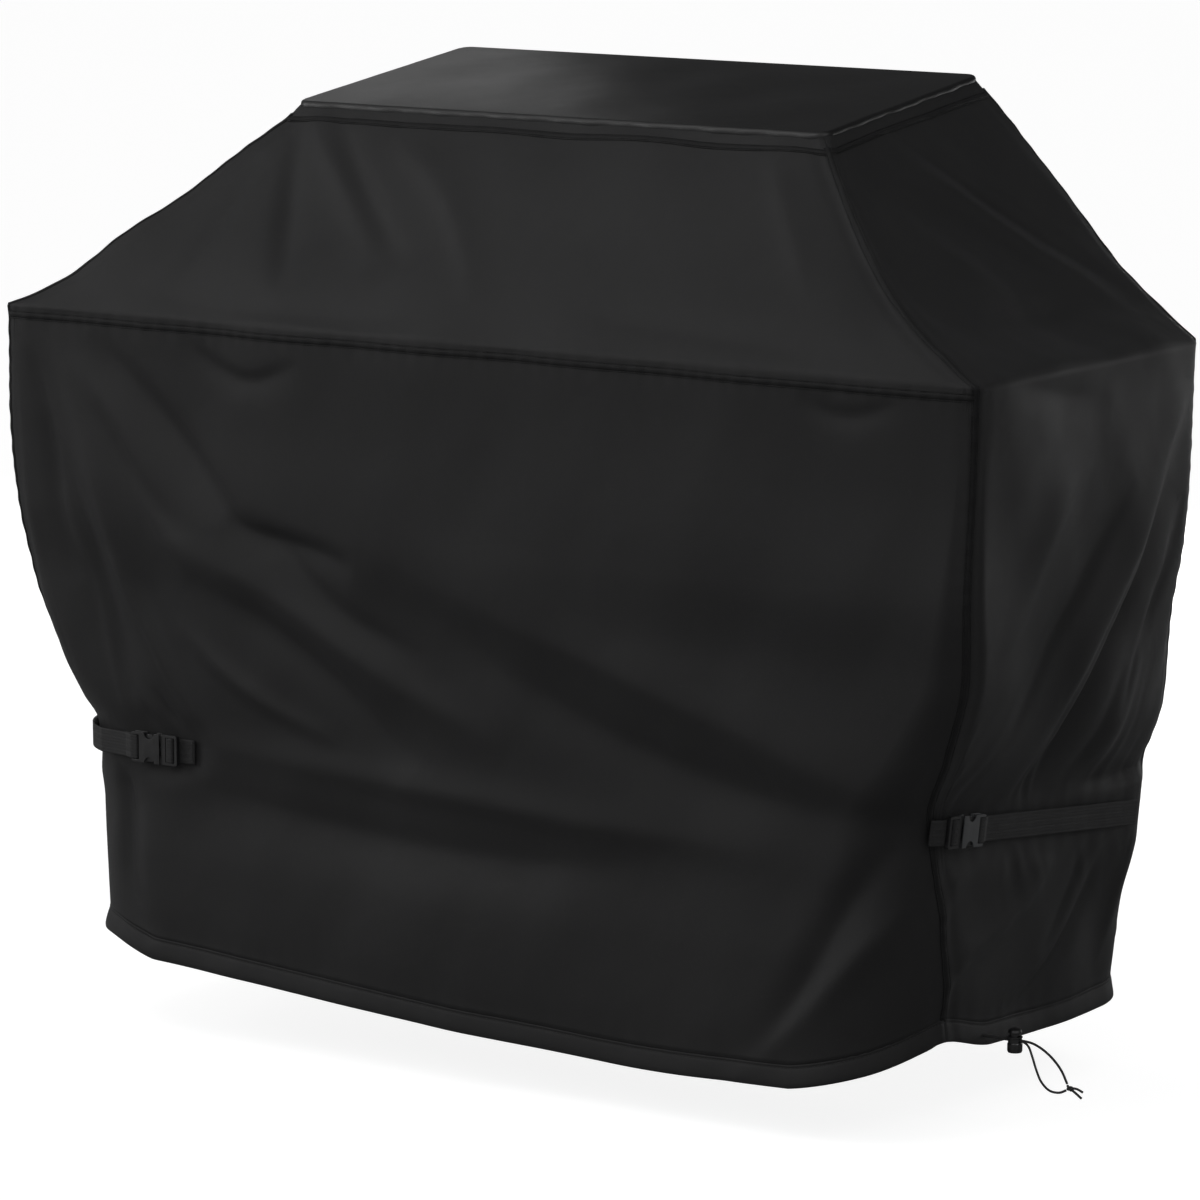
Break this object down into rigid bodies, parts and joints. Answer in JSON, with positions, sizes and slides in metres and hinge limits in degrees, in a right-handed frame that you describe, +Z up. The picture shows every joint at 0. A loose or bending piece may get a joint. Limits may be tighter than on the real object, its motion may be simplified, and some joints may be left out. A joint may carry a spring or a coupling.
{
  "type": "grill cover",
  "caption": "Fitted fabric cover for a cart barbecue grill: sloped hood, shelf-width skirt, side cinch straps with buckles and a hem drawcord with cord lock.",
  "frame": {"origin": "middle of the top panel's underside, where the cover rests on the grill's closed lid", "axes": "+Z up, front towards -Y, +X to the right along the cover's length"},
  "size_m": [1.5004, 0.6181, 1.2247],
  "materials": {
    "shell_cloth": "black coated polyester, plain weave, soft sheen",
    "top_cloth": "black coated polyester with a smoother, glossier coat",
    "seam_tape": "felled seam with two rows of stitching",
    "webbing": "woven polypropylene webbing",
    "buckle_plastic": "moulded acetal, fine satin",
    "socket_plastic": "moulded acetal, fine satin",
    "lock_plastic": "moulded nylon, satin",
    "cord_braid": "braided polyester cord",
    "spring_steel": "bright spring wire"
  },
  "bodies": {
    "root": {"top_panel": "top_cloth", "front_upper_panel": "shell_cloth", "front_lower_panel": "shell_cloth", "right_side_panel": "shell_cloth", "back_upper_panel": "shell_cloth", "back_lower_panel": "shell_cloth", "left_side_panel": "shell_cloth", "top_edge_binding": "seam_tape", "front_cross_seam": "seam_tape", "back_cross_seam": "seam_tape", "front_right_corner_seam": "seam_tape", "back_right_corner_seam": "seam_tape", "back_left_corner_seam": "seam_tape", "front_left_corner_seam": "seam_tape", "front_hem_channel": "shell_cloth", "right_hem_channel": "shell_cloth", "back_hem_channel": "shell_cloth", "left_hem_channel": "shell_cloth", "hem_drawcord": "cord_braid", "cord_strand_upper": "cord_braid", "cord_strand_lower": "cord_braid", "cord_knot": "cord_braid", "right_strap_tab": "webbing", "right_buckle_plug": "buckle_plastic", "right_strap_anchor": "webbing", "left_strap_tab": "webbing", "left_buckle_plug": "buckle_plastic", "left_strap_anchor": "webbing"},
    "right_socket": {"right_buckle_socket": "socket_plastic", "right_long_strap": "webbing"},
    "right_upper_prong": {"right_plug_prong_upper": "buckle_plastic"},
    "right_lower_prong": {"right_plug_prong_lower": "buckle_plastic"},
    "left_socket": {"left_buckle_socket": "socket_plastic", "left_long_strap": "webbing"},
    "left_upper_prong": {"left_plug_prong_upper": "buckle_plastic"},
    "left_lower_prong": {"left_plug_prong_lower": "buckle_plastic"},
    "lock_barrel": {"cord_lock_barrel": "lock_plastic", "cord_lock_spring": "spring_steel"},
    "lock_button": {"cord_lock_button": "lock_plastic"}
  },
  "joints": [
    {"name": "right_buckle_release", "type": "slide", "parent": "root", "child": "right_socket", "axis": [0.085, 0.992, -0.0934], "range_m": [0, 0.036]},
    {"name": "right_upper_prong_flex", "type": "hinge", "parent": "root", "child": "right_upper_prong", "pos_m": [0.64959, -0.2632, -0.84474], "axis": [0.9948, -0.0898, -0.0479], "range_deg": [-7, 0], "stiffness_Nm_per_rad": 0.2},
    {"name": "right_lower_prong_flex", "type": "hinge", "parent": "root", "child": "right_lower_prong", "pos_m": [0.64824, -0.26533, -0.8686], "axis": [0.9948, -0.0898, -0.0479], "range_deg": [0, 7], "stiffness_Nm_per_rad": 0.2},
    {"name": "left_buckle_release", "type": "slide", "parent": "root", "child": "left_socket", "axis": [-1, 0, 0], "range_m": [0, 0.036]},
    {"name": "left_upper_prong_flex", "type": "hinge", "parent": "root", "child": "left_upper_prong", "pos_m": [-0.48118, -0.38295, -0.8484], "axis": [0, -0.9998, -0.0198], "range_deg": [0, 7], "stiffness_Nm_per_rad": 0.2},
    {"name": "left_lower_prong_flex", "type": "hinge", "parent": "root", "child": "left_lower_prong", "pos_m": [-0.48118, -0.38248, -0.8724], "axis": [0, -0.9998, -0.0198], "range_deg": [-7, 0], "stiffness_Nm_per_rad": 0.2},
    {"name": "cord_lock_slide", "type": "slide", "parent": "root", "child": "lock_barrel", "axis": [1, 0, 0], "range_m": [-0.026, 0]},
    {"name": "cord_lock_press", "type": "slide", "parent": "lock_barrel", "child": "lock_button", "axis": [0, 0, -1], "range_m": [0, 0.004], "stiffness_N_per_m": 900, "deforming": ["cord_lock_spring"]}
  ],
  "couplings": [
    {"joint": "right_lower_prong_flex", "follows": "right_upper_prong_flex", "ratio": -1},
    {"joint": "left_lower_prong_flex", "follows": "left_upper_prong_flex", "ratio": -1}
  ]
}
